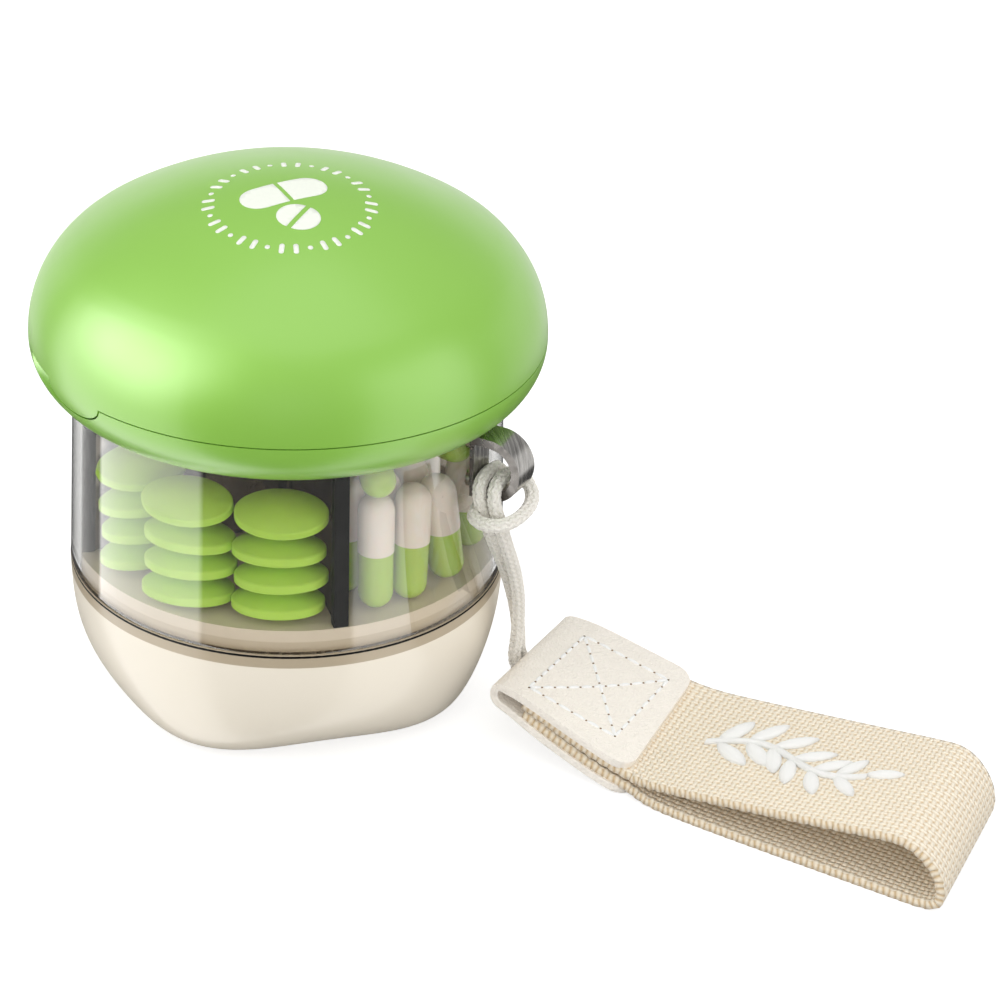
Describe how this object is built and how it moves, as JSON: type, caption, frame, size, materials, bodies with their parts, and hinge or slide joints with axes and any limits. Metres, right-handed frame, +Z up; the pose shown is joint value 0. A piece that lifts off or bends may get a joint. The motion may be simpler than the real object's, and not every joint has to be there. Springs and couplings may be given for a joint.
{
  "type": "pill cutter",
  "caption": "Mushroom-shaped pill cutter: a hinged domed cap with a blade over a V-shaped seat, on a clear stem with pill compartments, with a cord and wrist strap.",
  "frame": {"origin": "middle of the base's underside, on the floor", "axes": "+Z up along the stem; the stem's four vanes lie along X and Y; the thumb dish faces about -Y and the hinge about +Y, both turned 14 degrees about Z with the cap; the cord loop points to +X+Y"},
  "size_m": [0.1309, 0.1382, 0.0861],
  "materials": {
    "green_plastic": "satin moulded plastic",
    "cream_plastic": "satin gloss moulded plastic",
    "smoke_clear": "clear smoky moulded plastic",
    "white_plastic": "matt moulded plastic",
    "dark_rubber": "matt",
    "clear_silicone": "soft satin",
    "chrome": "polished",
    "steel": "ground",
    "cord_white": "braided",
    "leather_cream": "fine grained",
    "webbing_beige": "coarse woven"
  },
  "bodies": {
    "stem": {"base_shell": "cream_plastic", "base_collar": "smoke_clear", "seam_gasket": "dark_rubber", "clear_body": "smoke_clear", "divider_cross": "smoke_clear", "divider_edge_strips": "dark_rubber", "lanyard_loop": "chrome", "loop_rivets": "chrome", "lanyard_cord": "cord_white", "leather_tab": "leather_cream", "wrist_strap": "webbing_beige"},
    "cap": {"cap_tray": "green_plastic", "cutter_deck": "white_plastic", "deck_screws": "steel", "cap_seal": "clear_silicone", "pill_bed": "white_plastic", "bed_grips": "clear_silicone", "hinge_pin": "steel"},
    "lid": {"cap_lid": "green_plastic", "blade_holder": "white_plastic", "cutter_blade": "steel", "blade_pins": "steel", "holder_screws": "steel"}
  },
  "joints": [
    {"name": "cap_lift", "type": "slide", "parent": "stem", "child": "cap", "axis": [0, 0, 1], "range_m": [0, 0.035]},
    {"name": "lid_hinge", "type": "hinge", "parent": "cap", "child": "lid", "pos_m": [-0.00902, 0.03619, 0.0615], "axis": [-0.9703, -0.2419, 0], "range_deg": [0, 110]}
  ]
}
